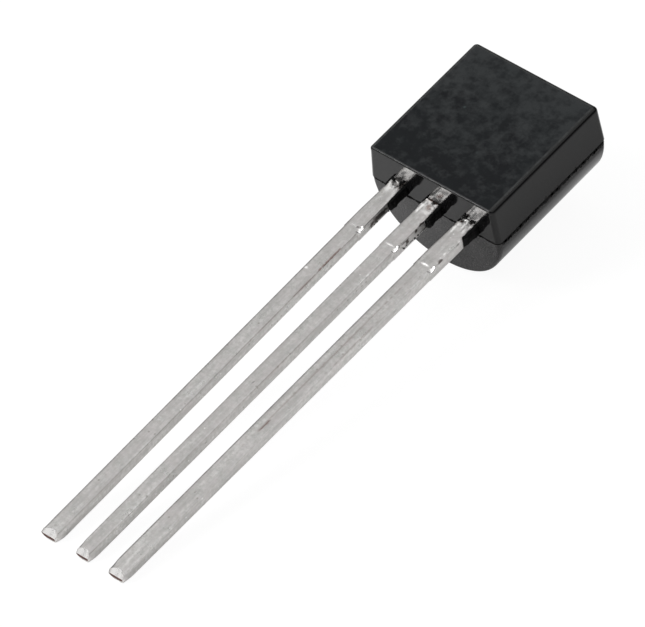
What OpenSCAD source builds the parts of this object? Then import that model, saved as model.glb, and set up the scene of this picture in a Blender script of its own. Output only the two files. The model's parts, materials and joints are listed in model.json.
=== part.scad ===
// Small-signal transistor in a moulded D-shaped plastic package with three flat leads.
// It lies as it comes to rest: on the lead-end edge of its round back and on the three
// lead tips, with the flat face up. Everything is in millimetres.
//
// The pieces are drawn in the package's own frame, and lie_down() lays them on the floor.
// In that frame X runs across the leads, Y runs along them towards the body's top end,
// and Z points out of the flat face. z = 0 is the mould seam, where the leads' backs lie.

/* [Moulded body] */
// Width of the body at the mould seam
body_w = 4.6; // [4.3:0.02:5]
// Length of the body along the leads, at the mould seam
body_h = 4.73; // [4.5:0.01:5.2]
// Thickness of the body from the flat face to the round back
body_d = 3.51; // [3.2:0.01:3.9]
// Depth of the mould seam behind the flat face
seam_depth = 1.26; // [1.1:0.02:1.5]
// Radius of the round back
back_r = 2.31; // [2.25:0.01:2.6]
// Draft on the two sides of the flat half
side_draft = 5; // [1:0.25:7]
// Draft on the two ends of the flat half
end_draft = 0.75; // [0.5:0.25:5]
// Draft on the sides and ends of the round half
back_draft = 2; // [1:0.25:6]
// Radius along the edges of the flat face and at the body's four corners
edge_r = 0.14; // [0.04:0.01:0.2]
// How far the round half stands back from the flat half at the seam
seam_step = 0.01; // [0.01:0.01:0.06]

/* [Leads] */
// Distance between neighbouring leads where they leave the body
lead_pitch = 1.27; // [1.2:0.01:1.35]
// Place of the emitter's tip across the leads, which are never quite parallel
emitter_tip_x = -1.12; // [-1.4:0.01:-1]
// Place of the base's tip across the leads
base_tip_x = 0.05; // [-0.2:0.01:0.2]
// Place of the collector's tip across the leads
collector_tip_x = 1.22; // [1:0.01:1.4]
// Length of the leads from the body to their tips
lead_l = 14.8; // [12.7:0.1:16]
// Width of a lead
lead_w = 0.47; // [0.4:0.01:0.55]
// Width of a lead between the body and the place of the tie bar
shoulder_w = 0.5; // [0.42:0.01:0.6]
// Thickness of the lead strip
lead_t = 0.37; // [0.3:0.01:0.5]
// Distance from the body to the place where the tie bar was cut away
tie_bar_y = 1.78; // [1.2:0.02:2.4]
// Height of the tie bar along the lead
tie_bar_h = 0.26; // [0.15:0.01:0.5]
// How far the cut stubs of the tie bar stand out at each side
stub_w = 0.02; // [0.01:0.01:0.08]
// Length of the bevel that the shear leaves on each tip
tip_bevel_l = 0.16; // [0.1:0.01:0.5]
// Thickness left at the very end of each tip
tip_end_t = 0.17; // [0.08:0.01:0.25]

/* [Resin flash beside the leads] */
// How far the flash stands out from the lead's right side
flash_w = 0.08; // [0.03:0.01:0.15]
// How far the flash stands out from the lead's left side
thin_flash_w = 0.03; // [0.01:0.01:0.06]
// Length of the flash on the left of each lead
thin_flash_l = 0.25; // [0.1:0.05:0.5]
// Length of the flash on the right of the emitter lead
emitter_flash_l = 0.75; // [0.2:0.05:1.2]
// Length of the flash on the right of the base lead
base_flash_l = 0.64; // [0.2:0.02:1.2]
// Length of the flash on the right of the collector lead
collector_flash_l = 0.46; // [0.2:0.02:1.2]

/* [Lead frame inside the body] */
// Height of the locking notches above the lead end of the body
notch_y = 0.45; // [0.4:0.05:0.7]
// Height of each locking notch along the lead
notch_h = 0.3; // [0.2:0.05:0.4]
// Depth of each locking notch
notch_depth = 0.09; // [0.05:0.01:0.12]
// Width of the posts that the bond wires land on
post_w = 0.92; // [0.7:0.02:0.96]
// Height of the base post's top edge
base_post_y = 1.6; // [1.4:0.05:1.65]
// Height of the base post along the lead
base_post_h = 0.6; // [0.4:0.05:0.7]
// Height of the lower edge of the emitter post
emitter_post_y = 2.15; // [2:0.05:2.4]
// Height of the emitter post along the lead
emitter_post_h = 1.1; // [0.8:0.05:1.4]
// Height of the collector paddle's lower edge
paddle_y = 1.95; // [1.9:0.05:2.1]
// Height of the collector paddle along the lead
paddle_h = 1.8; // [1.5:0.05:2]
// Width of the collector paddle
paddle_w = 2.1; // [1.9:0.05:2.15]
// Radius of the locking hole in the paddle
lock_hole_r = 0.22; // [0.15:0.01:0.26]
// Height above the locking notches where the collector's stem widens towards the paddle
stem_rise = 0.2; // [0.1:0.05:0.4]
// Width of that stem
stem_w = 0.72; // [0.6:0.02:0.9]

/* [Chip and bond wires] */
// Side of the square silicon chip
die_w = 0.76; // [0.5:0.02:0.9]
// Distance from the chip to the paddle's inner edge
die_margin = 0.2; // [0.1:0.05:0.4]
// Thickness of the silicon chip
die_t = 0.24; // [0.15:0.01:0.3]
// Diameter of the bond wires
wire_d = 0.04; // [0.03:0.005:0.06]
// Diameter of the ball that joins a wire to the chip
ball_d = 0.1; // [0.07:0.01:0.12]
// Rise of the wire loops above the chip
loop_rise = 0.2; // [0.12:0.01:0.25]

/* [Hidden] */

// Body
half_w = body_w / 2;
half_h = body_h / 2;
back_depth = body_d - seam_depth;
back_centre_z = back_r - back_depth;
back_edge_y = seam_step + back_depth * tan(back_draft);
corner_steps = 5;
flash_root = 0.1;
past = 1;
// The circle that rounds a corner is drawn this much too far out, so that it crosses both faces.
crossing = 0.002;

// Leads, from left to right with the flat face towards the viewer and the leads down
emitter_x = -lead_pitch;
base_x = 0;
collector_x = lead_pitch;

// Chip on the paddle, and the two ends of each bond wire
paddle_right_x = collector_x + post_w / 2;
paddle_left_x = paddle_right_x - paddle_w;
die_x = paddle_left_x + die_margin + die_w / 2;
die_y = paddle_y + paddle_h / 2;
lock_hole_x = collector_x + 0.1;
emitter_pad = [die_x - 0.15, die_y + 0.12];
base_pad = [die_x + 0.1, die_y - 0.2];
emitter_landing = [emitter_x + 0.1, emitter_post_y + 0.45];
base_landing = [base_x, base_post_y - base_post_h / 2];
wire_steps = 14;
wire_sides = 8;

// Rest on the floor
tilt = atan(back_depth / (lead_l + back_edge_y));
top_reach = (body_h - back_edge_y) * cos(tilt) + back_depth * sin(tilt);
tip_reach = lead_l * cos(tilt) + tip_end_t * sin(tilt);

resin = [0.11, 0.11, 0.12];
tin = [0.72, 0.71, 0.69];
silicon = [0.36, 0.37, 0.42];
gold = [0.86, 0.66, 0.26];

// Turns a piece from the package's frame onto the floor, with the origin on the floor
// under the middle of the whole part.
module lie_down() {
    translate([0, (tip_reach - top_reach) / 2, lead_l * sin(tilt)])
        rotate([tilt, 0, 0])
            children();
}

function arc(centre, r, from, to, steps) = [
    for (i = [0:steps])
        let (a = from + (to - from) * i / steps)
            centre + r * [cos(a), sin(a)]
];

// Half of a drafted outline whose foot is at z = 0: from the foot up the side, round the
// edge of the flat face. foot is the half-width at the seam.
function drafted_side(foot, draft) =
    let (
        rim_z = seam_depth - edge_r,
        centre = [foot - rim_z * tan(draft) - edge_r / cos(draft), rim_z]
    )
        concat([[foot, 0]], arc(centre, edge_r, draft, 90, corner_steps));

function mirrored(points) = [
    for (i = [len(points) - 1:-1:0]) [-points[i][0], points[i][1]]
];

// Extrudes a profile drawn in X and Z along Y, centred on the body's middle.
module along_leads(length) {
    translate([0, (body_h + length) / 2, 0])
        rotate([90, 0, 0])
            linear_extrude(length)
                children();
}

// Extrudes a profile drawn in Y and Z along X, with its own zero at the body's middle.
module across_leads(width) {
    translate([-width / 2, body_h / 2, 0])
        rotate([90, 0, 90])
            linear_extrude(width)
                children();
}

// Rounds the four upright corners of one mould half. foot_w and foot_h are its half-width
// and half-length at the seam; lean_x and lean_y are the drafts of its sides and ends,
// below zero where they lean in downwards.
module rounded_corners(foot_w, foot_h, lean_x, lean_y) {
    centre = edge_r - crossing;
    difference() {
        children();
        for (x = [0, 1], y = [0, 1])
            translate([0, half_h, 0])
                mirror([x, 0, 0])
                    mirror([0, y, 0])
                        translate([foot_w, -foot_h, 0])
                            rotate([-lean_y, -lean_x, 0])
                                translate([0, 0, -body_d])
                                    linear_extrude(2 * body_d)
                                        difference() {
                                            translate([-centre, -past])
                                                square(centre + past);
                                            translate([-centre, centre])
                                                circle(r = edge_r, $fn = 48);
                                        }
    }
}

// The half between the flat face and the seam: two drafted outlines crossed.
module flat_half() {
    across = drafted_side(half_w, side_draft);
    along = drafted_side(half_h, end_draft);
    rounded_corners(half_w, half_h, side_draft, end_draft)
        intersection() {
            along_leads(body_h + past)
                polygon(concat(across, mirrored(across)));
            across_leads(body_w + past)
                polygon(concat(along, mirrored(along)));
        }
}

// A drafted outline that hangs down from the seam, as deep as the round back.
module hanging_outline(foot) {
    shrink = back_depth * tan(back_draft);
    polygon([
        [-foot, 0], [foot, 0],
        [foot - shrink, -back_depth], [shrink - foot, -back_depth]
    ]);
}

// The rounded half: a round back between two drafted sides and two drafted ends.
module round_half() {
    foot_w = half_w - seam_step;
    foot_h = half_h - seam_step;
    rounded_corners(foot_w, foot_h, -back_draft, -back_draft)
        intersection() {
            along_leads(body_h + past)
                intersection() {
                    translate([0, back_centre_z])
                        circle(r = back_r, $fn = 96);
                    hanging_outline(foot_w);
                }
            across_leads(body_w + past)
                hanging_outline(foot_h);
        }
}

// Thin webs of resin that ran out of the mould beside a lead.
module lead_flash(lead_x, right_l) {
    translate([lead_x + shoulder_w / 2, -right_l, 0])
        cube([flash_w, right_l + flash_root, lead_t]);
    translate([lead_x - shoulder_w / 2 - thin_flash_w, -thin_flash_l, 0])
        cube([thin_flash_w, thin_flash_l + flash_root, lead_t]);
}

// Plan of the part of a lead outside the body: shank, cut tie bar stubs and shoulder.
module outer_lead_plan(lead_x, tip_x) {
    tie_bar_end_y = tie_bar_y + tie_bar_h;
    function centre_x(y) = lead_x + (tip_x - lead_x) * y / lead_l;
    function both_sides(y, w) = [[centre_x(y) + w / 2, -y], [centre_x(y) - w / 2, -y]];
    stations = [
        both_sides(lead_l, lead_w),
        both_sides(tie_bar_end_y, lead_w),
        both_sides(tie_bar_end_y, lead_w + 2 * stub_w),
        both_sides(tie_bar_y, lead_w + 2 * stub_w),
        both_sides(tie_bar_y, shoulder_w),
        both_sides(0, shoulder_w),
        [[lead_x + shoulder_w / 2, notch_y], [lead_x - shoulder_w / 2, notch_y]]
    ];
    last = len(stations) - 1;
    polygon(concat(
        [for (i = [0:last]) stations[i][0]],
        [for (i = [last:-1:0]) stations[i][1]]
    ));
}

// Plan of a lead's notched root inside the body, up to the height where its post begins.
module root_plan(lead_x, post_y) {
    notched_w = shoulder_w - 2 * notch_depth;
    translate([lead_x - notched_w / 2, notch_y])
        square([notched_w, notch_h]);
    translate([lead_x - shoulder_w / 2, notch_y + notch_h])
        square([shoulder_w, post_y - notch_y - notch_h]);
}

// Gives a lead plan its thickness and bevels its tip as the shear did.
module stamped_lead(tip_x) {
    difference() {
        linear_extrude(lead_t)
            children();
        translate([tip_x - lead_w, -lead_l, 0])
            rotate([90, 0, 90])
                linear_extrude(2 * lead_w)
                    polygon([
                        [-past, tip_end_t], [0, tip_end_t], [tip_bevel_l, lead_t],
                        [tip_bevel_l, lead_t + past], [-past, lead_t + past]
                    ]);
    }
}

module emitter_lead_blank() {
    stamped_lead(emitter_tip_x) {
        union() {
            outer_lead_plan(emitter_x, emitter_tip_x);
            root_plan(emitter_x, emitter_post_y);
            translate([emitter_x - post_w / 2, emitter_post_y])
                square([post_w, emitter_post_h]);
        }
    }
}

module base_lead_blank() {
    post_y = base_post_y - base_post_h;
    stamped_lead(base_tip_x) {
        union() {
            outer_lead_plan(base_x, base_tip_x);
            root_plan(base_x, post_y);
            translate([base_x - post_w / 2, post_y])
                square([post_w, base_post_h]);
        }
    }
}

module collector_lead_blank() {
    stem_y = notch_y + notch_h + stem_rise;
    stamped_lead(collector_tip_x) {
        difference() {
            union() {
                outer_lead_plan(collector_x, collector_tip_x);
                root_plan(collector_x, stem_y);
                translate([paddle_right_x - stem_w, stem_y])
                    square([stem_w, paddle_y - stem_y]);
                translate([paddle_left_x, paddle_y])
                    square([paddle_w, paddle_h]);
            }
            translate([lock_hole_x, die_y])
                circle(r = lock_hole_r, $fn = 48);
        }
    }
}

module die_blank() {
    translate([die_x - die_w / 2, die_y - die_w / 2, lead_t])
        cube([die_w, die_w, die_t]);
}

function bezier(p, t) =
    p[0] * pow(1 - t, 3) + 3 * p[1] * t * pow(1 - t, 2) + 3 * p[2] * pow(t, 2) * (1 - t) + p[3] * pow(t, 3);

function bezier_direction(p, t) =
    (p[1] - p[0]) * pow(1 - t, 2) + 2 * (p[2] - p[1]) * t * (1 - t) + (p[3] - p[2]) * pow(t, 2);

function unit(v) = v / norm(v);

// A wire that stands up from a ball on the chip, loops over and lands on a lead's post.
module bond_wire_blank(pad, landing) {
    chip_top = lead_t + die_t;
    loop_z = chip_top + loop_rise * 4 / 3;
    route = [
        [pad[0], pad[1], chip_top], [pad[0], pad[1], loop_z],
        [landing[0], landing[1], loop_z], [landing[0], landing[1], lead_t]
    ];
    side = unit(cross([0, 0, 1], [landing[0] - pad[0], landing[1] - pad[1], 0]));
    function radius(i) = (i <= 1 || i == wire_steps ? ball_d : wire_d) / 2;
    function ring(i) =
        let (t = i / wire_steps, along = unit(bezier_direction(route, t)), up = cross(along, side))
            [
                for (j = [0:wire_sides - 1])
                    let (a = 360 * j / wire_sides)
                        bezier(route, t) + radius(i) * (cos(a) * side + sin(a) * up)
            ];
    function corner(i, j) = i * wire_sides + j % wire_sides;
    points = [for (i = [0:wire_steps]) each ring(i)];
    walls = [
        for (i = [0:wire_steps - 1], j = [0:wire_sides - 1])
            each [
                [corner(i, j), corner(i, j + 1), corner(i + 1, j + 1)],
                [corner(i, j), corner(i + 1, j + 1), corner(i + 1, j)]
            ]
    ];
    start = [for (j = [wire_sides - 1:-1:0]) corner(0, j)];
    end = [for (j = [0:wire_sides - 1]) corner(wire_steps, j)];
    polyhedron(points = points, faces = concat(walls, [start, end]));
}

// The moulded body, with the lead frame, the chip and the wires cast into it.
module epoxy_body() {
    color(resin)
        lie_down()
            difference() {
                union() {
                    flat_half();
                    round_half();
                    lead_flash(emitter_x, emitter_flash_l);
                    lead_flash(base_x, base_flash_l);
                    lead_flash(collector_x, collector_flash_l);
                }
                emitter_lead_blank();
                base_lead_blank();
                collector_lead_blank();
                die_blank();
                bond_wire_blank(emitter_pad, emitter_landing);
                bond_wire_blank(base_pad, base_landing);
            }
}

module emitter_lead() {
    color(tin)
        lie_down()
            emitter_lead_blank();
}

module base_lead() {
    color(tin)
        lie_down()
            base_lead_blank();
}

module collector_lead() {
    color(tin)
        lie_down()
            collector_lead_blank();
}

module silicon_die() {
    color(silicon)
        lie_down()
            die_blank();
}

module emitter_bond_wire() {
    color(gold)
        lie_down()
            bond_wire_blank(emitter_pad, emitter_landing);
}

module base_bond_wire() {
    color(gold)
        lie_down()
            bond_wire_blank(base_pad, base_landing);
}

epoxy_body();
emitter_lead();
base_lead();
collector_lead();
silicon_die();
emitter_bond_wire();
base_bond_wire();
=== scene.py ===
# %% [markdown]
# # Dressing a small transistor
#
# The part is a small-signal transistor: a black block of moulded resin with one flat face and
# a round back, and three flat tin-plated leads that come out of its lower end. Its solids are
# already made. This file loads them, gives each piece the surface that the real one has, and
# sets up the light and the camera. The lesson goes from the outside in: the frame, the moulded
# body, the leads, the resin that squeezed out round them, and then the chip and wires that are
# cast inside.

# %% Load the imported model
import json
import math

import bmesh
import bpy
from mathutils import Matrix, Vector, noise

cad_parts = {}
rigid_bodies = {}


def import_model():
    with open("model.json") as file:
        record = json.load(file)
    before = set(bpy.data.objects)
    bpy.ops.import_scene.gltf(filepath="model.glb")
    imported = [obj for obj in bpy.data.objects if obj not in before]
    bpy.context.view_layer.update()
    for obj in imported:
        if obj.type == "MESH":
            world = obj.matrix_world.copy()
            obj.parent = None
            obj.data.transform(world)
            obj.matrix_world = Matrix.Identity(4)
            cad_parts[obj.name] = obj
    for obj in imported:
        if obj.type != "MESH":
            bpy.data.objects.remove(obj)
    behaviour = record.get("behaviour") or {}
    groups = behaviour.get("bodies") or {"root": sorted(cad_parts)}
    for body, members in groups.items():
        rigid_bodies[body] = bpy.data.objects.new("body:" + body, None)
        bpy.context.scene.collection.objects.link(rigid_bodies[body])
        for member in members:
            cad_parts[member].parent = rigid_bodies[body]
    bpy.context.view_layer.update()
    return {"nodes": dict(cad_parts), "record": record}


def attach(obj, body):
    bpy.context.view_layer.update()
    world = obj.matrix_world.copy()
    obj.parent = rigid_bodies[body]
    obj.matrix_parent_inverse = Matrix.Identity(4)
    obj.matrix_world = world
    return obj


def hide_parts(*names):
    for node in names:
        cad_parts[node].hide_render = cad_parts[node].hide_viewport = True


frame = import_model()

print("pieces that came with the frame:", sorted(frame["nodes"]))

# %% [markdown]
# ## A frame of the package's own
#
# The transistor lies on the floor on the edge of its round back and on the tips of its leads,
# so nothing about it is square to the floor. Its sizes are far easier to write in a frame of
# its own: `across` the leads, `along` them towards the body's top end, and `out` of the flat
# face, all in millimetres, with zero on the mould seam at the lead end. Two of the mounts that
# travel with the model give those directions. Every piece is made in that frame, and one
# matrix then lays it down among the others, so no object is ever moved or turned.

# %% The package's frame
MM = 0.001
BODY_W = 4.6
BODY_H = 4.73
SEAM_DEPTH = 1.26
BACK_DEPTH = 2.25

mounts = {mount["name"]: mount for mount in frame["record"]["mounts"]}
out_way = Vector(mounts["flat_face"]["axis"])
along_way = -Vector(mounts["base_pin"]["axis"])
across_way = along_way.cross(out_way)
flat_centre = Vector(mounts["flat_face"]["pos_m"])
seam_corner = flat_centre - (SEAM_DEPTH * out_way + BODY_H / 2 * along_way) * MM
turned = Matrix((across_way, along_way, out_way)).transposed()
LAID_DOWN = Matrix.Translation(seam_corner) @ turned.to_4x4() @ Matrix.Scale(MM, 4)
print("tilt of the flat face, degrees:", round(math.degrees(out_way.angle((0, 0, 1))), 2))

# %% [markdown]
# ## From a workbench to a finished piece
#
# A mesh is easiest to round and cut while it is still in millimetres. These helpers take such
# a mesh, let its modifiers work, freeze the result, lay it down in the shared frame and hang
# it on the model's only body. Modifiers are frozen here so that the mesh that is kept is
# exactly what is seen.

# %% Helpers that finish a piece
def new_object(name, data):
    made = bpy.data.objects.new(name, data)
    bpy.context.scene.collection.objects.link(made)
    return made


def workbench_object(shape, name, materials):
    """Turns a bmesh in package millimetres into an object on the workbench."""
    bmesh.ops.recalc_face_normals(shape, faces=shape.faces)
    mesh = bpy.data.meshes.new(name)
    shape.to_mesh(mesh)
    shape.free()
    for material in materials:
        mesh.materials.append(material)
    return new_object(name, mesh)


def finished_piece(rough, name, stands_for=(), sharp_from=None):
    """Freezes a workbench object's modifiers, lays it down and hangs it on the model."""
    seen = rough.evaluated_get(bpy.context.evaluated_depsgraph_get())
    mesh = bpy.data.meshes.new_from_object(seen)
    bpy.data.objects.remove(rough)
    mesh.transform(LAID_DOWN)
    mesh.name = name
    if sharp_from is not None:
        mesh.shade_smooth()
        mesh.set_sharp_from_angle(angle=math.radians(sharp_from))
    piece = new_object(name, mesh)
    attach(piece, "root")
    if stands_for:
        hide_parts(*stands_for)
    print(name, "has", len(mesh.polygons), "faces")


# %% [markdown]
# ## Building materials from nodes
#
# All finishes are worked out by nodes, with no pictures. Patterns are laid out in the same
# package millimetres as the shapes: a Mapping node undoes the lay-down, so a streak that runs
# along a lead is simply a pattern stretched along the second axis. The small helpers keep
# each material readable: one line adds a node and fills or links its sockets.

# %% Helpers for node trees
def add(tree, kind, inputs=None, **settings):
    """Adds a node; an input is a value, or another node's output to link from."""
    made = tree.nodes.new(kind)
    for name, value in settings.items():
        setattr(made, name, value)
    for name, value in (inputs or {}).items():
        if isinstance(value, bpy.types.NodeSocket):
            tree.links.new(value, made.inputs[name])
        else:
            made.inputs[name].default_value = value
    return made


def ranged(tree, value, low, high, to_low=0.0, to_high=1.0, **settings):
    """Stretches a value from one range to another, and stops it at both ends."""
    ends = {"From Min": low, "From Max": high, "To Min": to_low, "To Max": to_high}
    made = add(tree, "ShaderNodeMapRange", {"Value": value, **ends}, **settings)
    return made.outputs["Result"]


def worked(tree, operation, first, second=0.5):
    """One step of arithmetic on two values."""
    return add(tree, "ShaderNodeMath", {0: first, 1: second}, operation=operation).outputs[0]


def blended(tree, share, first, second):
    """A value that goes from the first to the second as the share goes from 0 to 1."""
    return add(tree, "ShaderNodeMix", {0: share, 2: first, 3: second}).outputs[0]


def tinted(tree, share, first, second):
    """A colour that goes from the first to the second as the share goes from 0 to 1."""
    made = add(tree, "ShaderNodeMix", {0: share, 6: first, 7: second}, data_type="RGBA")
    return made.outputs[2]


def vector_step(tree, operation, first, second):
    """One step of arithmetic on two vectors; SCALE takes a plain number as its second."""
    by = "Scale" if operation == "SCALE" else 1
    inputs = {0: first, by: second}
    return add(tree, "ShaderNodeVectorMath", inputs, operation=operation).outputs[0]


def noise_on(tree, place, scale, detail, rough=0.5):
    """The outputs of cloudy noise; scale is how many clouds fit into one unit of the place."""
    inputs = {"Vector": place, "Scale": scale, "Detail": detail, "Roughness": rough}
    return add(tree, "ShaderNodeTexNoise", inputs).outputs


def package_place(tree):
    """Where a point of the surface is, in package millimetres."""
    undo = turned.inverted()
    start = undo @ seam_corner / MM
    here = add(tree, "ShaderNodeTexCoord").outputs["Object"]
    turn = {"Location": -start, "Rotation": undo.to_euler(), "Scale": (1 / MM,) * 3}
    return add(tree, "ShaderNodeMapping", {"Vector": here, **turn}).outputs["Vector"]


def new_material(name, **constants):
    """A material with one Principled shader whose plain sockets are set here."""
    material = bpy.data.materials.new(name)
    material.use_nodes = True
    tree = material.node_tree
    shader = tree.nodes["Principled BSDF"]
    for socket, value in constants.items():
        shader.inputs[socket.replace("_", " ")].default_value = value
    return material, tree, shader


def surfaced(tree, shader, colour, rough, height=None, strength=1.0, depth=1.0):
    """Links the colour, the roughness and the relief of a finish; depth is in millimetres."""
    tree.links.new(colour, shader.inputs["Base Color"])
    tree.links.new(rough, shader.inputs["Roughness"])
    if height:
        relief = {"Height": height, "Strength": strength, "Distance": depth * MM}
        bump = add(tree, "ShaderNodeBump", relief)
        tree.links.new(bump.outputs["Normal"], shader.inputs["Normal"])


def new_effect(name, inputs, outputs):
    """A shader group with named sockets; gives the group, its inputs and its outputs."""
    group = bpy.data.node_groups.new(name, "ShaderNodeTree")
    group.interface.new_socket("Place", in_out="INPUT", socket_type="NodeSocketVector")
    for label in inputs:
        group.interface.new_socket(label, in_out="INPUT", socket_type="NodeSocketFloat")
    for label in outputs:
        group.interface.new_socket(label, in_out="OUTPUT", socket_type="NodeSocketFloat")
    given = group.nodes.new("NodeGroupInput").outputs
    result = group.nodes.new("NodeGroupOutput").inputs
    return group, given, result


def use(tree, group, place, **values):
    """Adds a group node, fills its sockets and gives its outputs."""
    made = tree.nodes.new("ShaderNodeGroup")
    made.node_tree = group
    tree.links.new(place, made.inputs["Place"])
    for label, value in values.items():
        made.inputs[label.replace("_", " ")].default_value = value
    return made.outputs


# %% [markdown]
# ## Effects that several finishes share
#
# Three things happen on more than one of these surfaces. A moulded or plated skin has a fine
# **grain** with faint clouds in it. Strip that was rolled and drawn has **streaks** along its
# length. And handling leaves **specks**: small dark pits and dirt. Each is one group with its
# own named inputs, built once here and set differently in each material.

# %% Shared effects: grain, streaks and specks
grain, given, result = new_effect(
    "fine grain", ("Grains per mm", "Clouds per mm"), ("Cloud", "Height")
)
cloud = noise_on(grain, given["Place"], given["Clouds per mm"], 5.0, 0.6)
bumps = noise_on(grain, given["Place"], given["Grains per mm"], 3.0, 0.65)
grain.links.new(ranged(grain, cloud["Fac"], 0.34, 0.66), result["Cloud"])
grain.links.new(bumps["Fac"], result["Height"])

streaks, given, result = new_effect(
    "drawn streaks", ("Lines per mm", "Breaks per mm"), ("Streak", "Height")
)
per_mm = {"X": given["Lines per mm"], "Y": given["Breaks per mm"], "Z": given["Lines per mm"]}
stretch = add(streaks, "ShaderNodeCombineXYZ", per_mm).outputs["Vector"]
drawn_place = vector_step(streaks, "MULTIPLY", given["Place"], stretch)
lines = noise_on(streaks, drawn_place, 1.0, 4.0, 0.6)
streaks.links.new(ranged(streaks, lines["Fac"], 0.3, 0.7), result["Streak"])
streaks.links.new(lines["Fac"], result["Height"])

specks, given, result = new_effect(
    "scattered specks", ("Specks per mm", "Size", "Share"), ("Mask",)
)
cells = add(
    specks, "ShaderNodeTexVoronoi", {"Vector": given["Place"], "Scale": given["Specks per mm"]}
)
draw = add(specks, "ShaderNodeSeparateColor", {"Color": cells.outputs["Color"]})
picked = worked(specks, "LESS_THAN", draw.outputs["Red"], given["Share"])
edge = worked(specks, "SUBTRACT", given["Size"], cells.outputs["Distance"])
inside = ranged(specks, edge, 0.0, 0.08)
specks.links.new(worked(specks, "MULTIPLY", picked, inside), result["Mask"])
print("shared effects:", [group.name for group in bpy.data.node_groups])

# %% [markdown]
# ## The simplest finish
#
# Four of the finishes here need no more than one shared effect. Its first output moves both the
# colour and the roughness between two ends, and its second, where it is wanted, is the relief.

# %% A finish with one effect
def plain_finish(name, effect, sizes, colours, roughness, relief=None, **constants):
    """One effect moves the colour and the roughness; relief is its strength and depth."""
    material, tree, shader = new_material(name, **constants)
    share, height = use(tree, effect, package_place(tree), **sizes)
    shade = tinted(tree, share, *[(*colour, 1) for colour in colours])
    rough = ranged(tree, share, 0, 1, *roughness)
    if relief:
        surfaced(tree, shader, shade, rough, height, *relief)
    else:
        surfaced(tree, shader, shade, rough)
    print("made the finish", name)
    return material


# %% [markdown]
# ## The moulding compound
#
# The body is transfer-moulded epoxy, filled with fine silica and blackened. Where the mould
# was polished the resin comes out glossy, as on the ends and the sides, and there it shows the
# floor and even the leads. The flat face was cut with a satin finish to take a mark, so it is
# duller, with faint clouds and a painted light that makes its colour lighter towards the top
# end, and nothing is printed on it here. The round half is greyer, with the fine speckle of a
# rougher mould. The rim of the flat face has lost its gloss to wear, and a painted highlight
# makes its colour lighter along the edge. The thin flash that squeezed out of the mould and
# broke off is the same resin, but torn: it is matt and almost black.

# %% Materials: glossy, satin and torn resin
def glossy_resin():
    material, tree, shader = new_material("glossy resin", IOR=1.5, Specular_IOR_Level=0.27)
    place = package_place(tree)
    skin = use(tree, grain, place, Grains_per_mm=22.0, Clouds_per_mm=1.6)
    depth = add(tree, "ShaderNodeSeparateXYZ", {"Vector": place}).outputs["Z"]
    black = tinted(tree, skin["Cloud"], (0.0040, 0.0040, 0.0044, 1), (0.0066, 0.0064, 0.0064, 1))
    back_half = ranged(tree, depth, -0.03, -0.04)
    speckle = ranged(tree, skin["Height"], 0.35, 0.65)
    grey = tinted(tree, speckle, (0.012, 0.0114, 0.0117, 1), (0.042, 0.040, 0.041, 1))
    shade = tinted(tree, back_half, black, grey)
    rim = ranged(tree, depth, SEAM_DEPTH - 0.016, SEAM_DEPTH - 0.008)
    worn = use(tree, grain, place, Grains_per_mm=10.0, Clouds_per_mm=5.0)
    # Painted highlight: the rim's colour is lighter along the edge, where wear also makes it
    # rougher
    worn_and_lit_rim = worked(tree, "MULTIPLY", rim, ranged(tree, worn["Cloud"], 0.3, 0.7, 0.5, 1.0))
    shade = tinted(tree, worn_and_lit_rim, shade, (0.042, 0.044, 0.044, 1))
    rough = ranged(tree, skin["Cloud"], 0, 1, 0.08, 0.13)
    rough = worked(tree, "ADD", rough, worked(tree, "MULTIPLY", worn_and_lit_rim, 0.75))
    surfaced(tree, shader, shade, rough, skin["Height"], strength=0.1, depth=0.002)
    return material


def satin_resin():
    material, tree, shader = new_material("satin resin", IOR=1.5, Specular_IOR_Level=0.2)
    place = package_place(tree)
    skin = use(tree, grain, place, Grains_per_mm=26.0, Clouds_per_mm=1.1)
    mottle = use(tree, grain, place, Grains_per_mm=9.0, Clouds_per_mm=3.6)
    dust = use(tree, specks, place, Specks_per_mm=2.2, Size=0.13, Share=0.07)
    along = add(tree, "ShaderNodeSeparateXYZ", {"Vector": place}).outputs["Y"]
    # Painted light: the colour grows lighter towards the top end, and random mottle is added to it
    painted_light_and_mottle = worked(tree, "MULTIPLY", ranged(tree, along, 0.6, BODY_H), 0.85)
    patches = worked(tree, "MULTIPLY", worked(tree, "SUBTRACT", mottle["Cloud"], 0.5), 1.1)
    painted_light_and_mottle = worked(tree, "ADD", worked(tree, "ADD", painted_light_and_mottle, patches), 0.05)
    shade = tinted(tree, painted_light_and_mottle, (0.0032, 0.0040, 0.0052, 1), (0.0255, 0.0278, 0.0290, 1))
    clouded = worked(tree, "MULTIPLY", skin["Cloud"], 0.25)
    shade = tinted(tree, clouded, shade, (0.008, 0.012, 0.013, 1))
    shade = tinted(tree, dust["Mask"], shade, (0.030, 0.040, 0.040, 1))
    rough = ranged(tree, skin["Cloud"], 0, 1, 0.28, 0.38)
    surfaced(tree, shader, shade, rough, skin["Height"], strength=0.25, depth=0.004)
    return material


GLOSSY = glossy_resin()
SATIN = satin_resin()
TORN = plain_finish(
    "torn resin",
    grain,
    {"Grains_per_mm": 34.0, "Clouds_per_mm": 7.0},
    [(0.0012, 0.0012, 0.0014), (0.0040, 0.0037, 0.0035)],
    (0.55, 0.85),
    (0.6, 0.01),
    Specular_IOR_Level=0.12,
)
print("resin finishes:", GLOSSY.name, SATIN.name, TORN.name)

# %% [markdown]
# ## The moulded body
#
# Two mould halves close on the lead frame. The flat half makes a block whose sides lean in, so
# that it lets go of the mould, and the other half makes the round back. Every edge has the
# small radius of the mould's own corners, and where the halves meet there is a fine groove, in
# which torn resin sits. Because each of these follows a rule, the body is a loft by formula:
# one profile across the leads, with a rounding radius at each of its points, is repeated along
# the body, and towards the two ends it shrinks by that radius along a quarter circle. That
# keeps the large faces truly flat, which shows at once in a glossy surface.

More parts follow.
